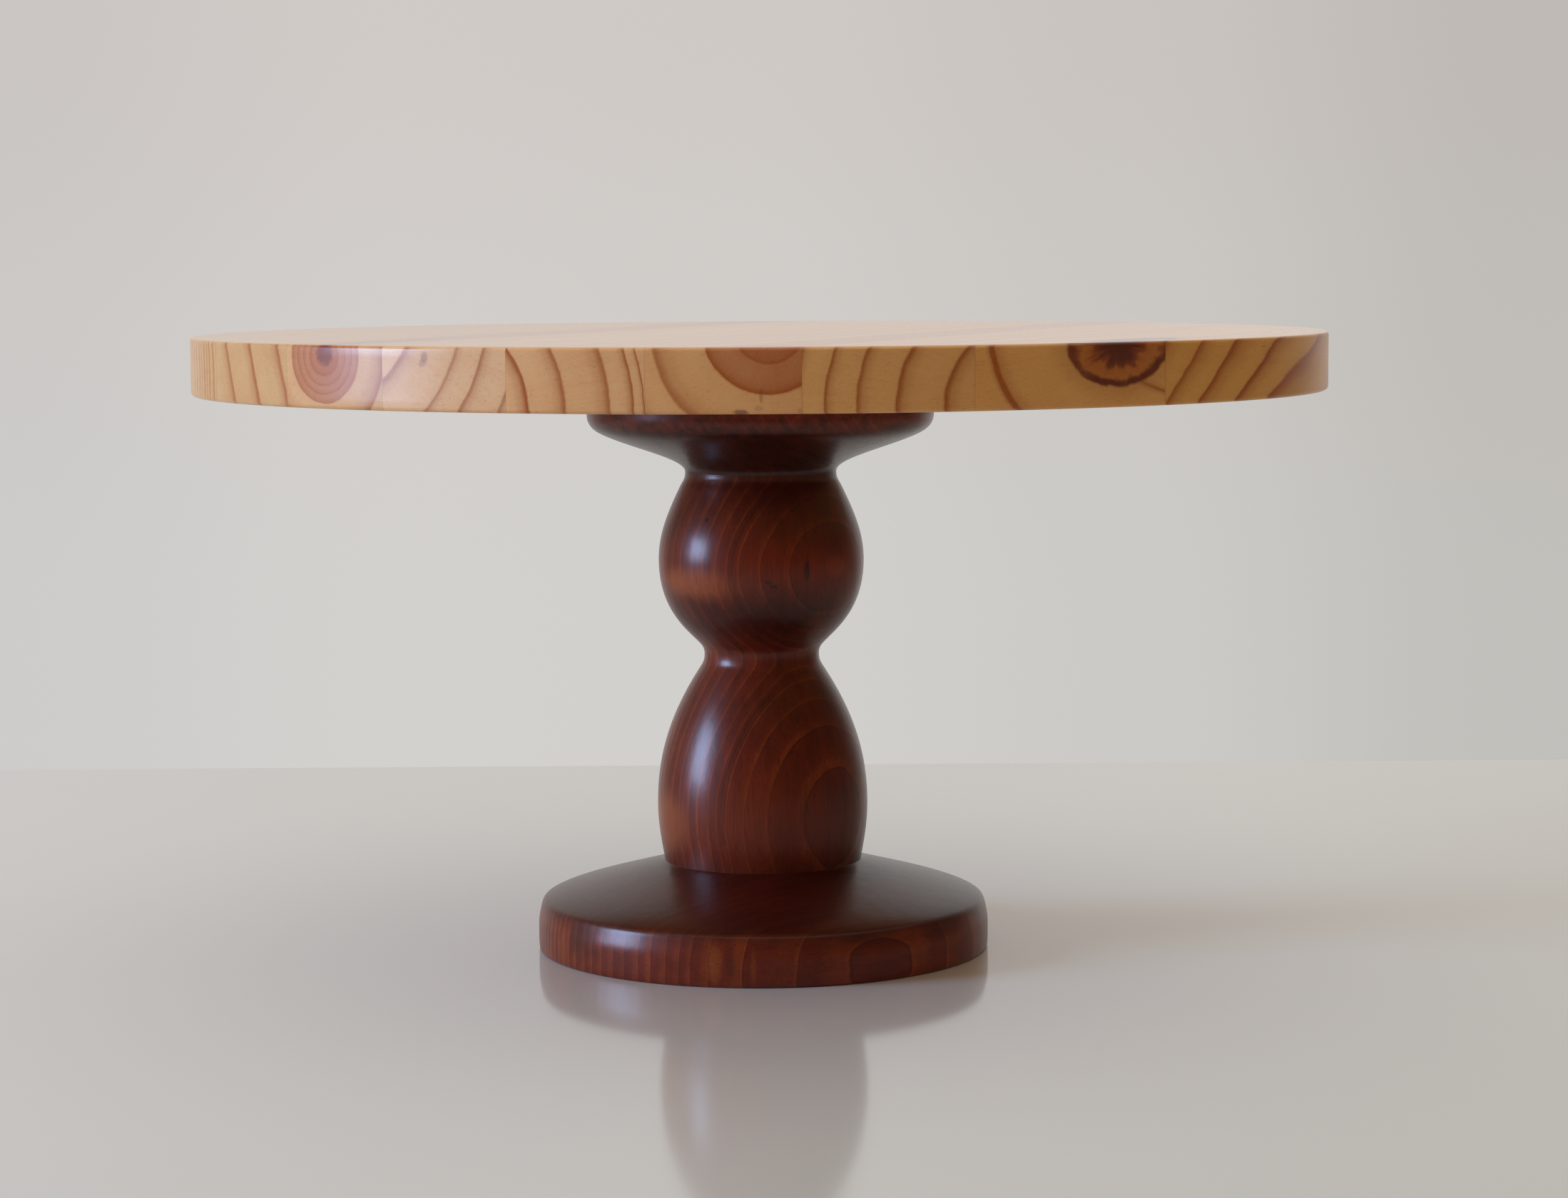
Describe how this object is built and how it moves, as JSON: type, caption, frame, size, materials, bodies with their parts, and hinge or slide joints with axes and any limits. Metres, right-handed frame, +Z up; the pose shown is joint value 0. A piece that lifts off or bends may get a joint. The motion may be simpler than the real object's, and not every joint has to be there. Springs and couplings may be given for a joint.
{
  "type": "cake stand",
  "caption": "Round edge-glued softwood board on a turned, stained pedestal with a bulbous baluster column, a disc foot and a flange under the board.",
  "frame": {"origin": "centre of the base disc's standing face, on the surface it stands on", "axes": "+Z up along the pedestal's turning axis; +Y away from the viewer at the front; the board's grain runs 22 degrees clockwise of +Y in plan"},
  "size_m": [0.3556, 0.3556, 0.196],
  "materials": {
    "natural_pine": "clear satin lacquer over sanded softwood",
    "mahogany_stained_wood": "dark red-brown stain under glossy varnish",
    "zinc_steel": "bright zinc plate",
    "insert_brass": "machined brass"
  },
  "bodies": {
    "root": {"board_stave_1": "natural_pine", "board_stave_2": "natural_pine", "board_stave_3": "natural_pine", "board_stave_4": "natural_pine", "board_stave_5": "natural_pine", "board_stave_6": "natural_pine", "board_stave_7": "natural_pine", "board_stave_8": "natural_pine", "board_stave_9": "natural_pine", "board_stave_10": "natural_pine", "top_flange": "mahogany_stained_wood", "turned_column": "mahogany_stained_wood", "base_disc": "mahogany_stained_wood", "hanger_bolt": "zinc_steel", "threaded_insert": "insert_brass", "base_screw": "zinc_steel"}
  },
  "joints": []
}
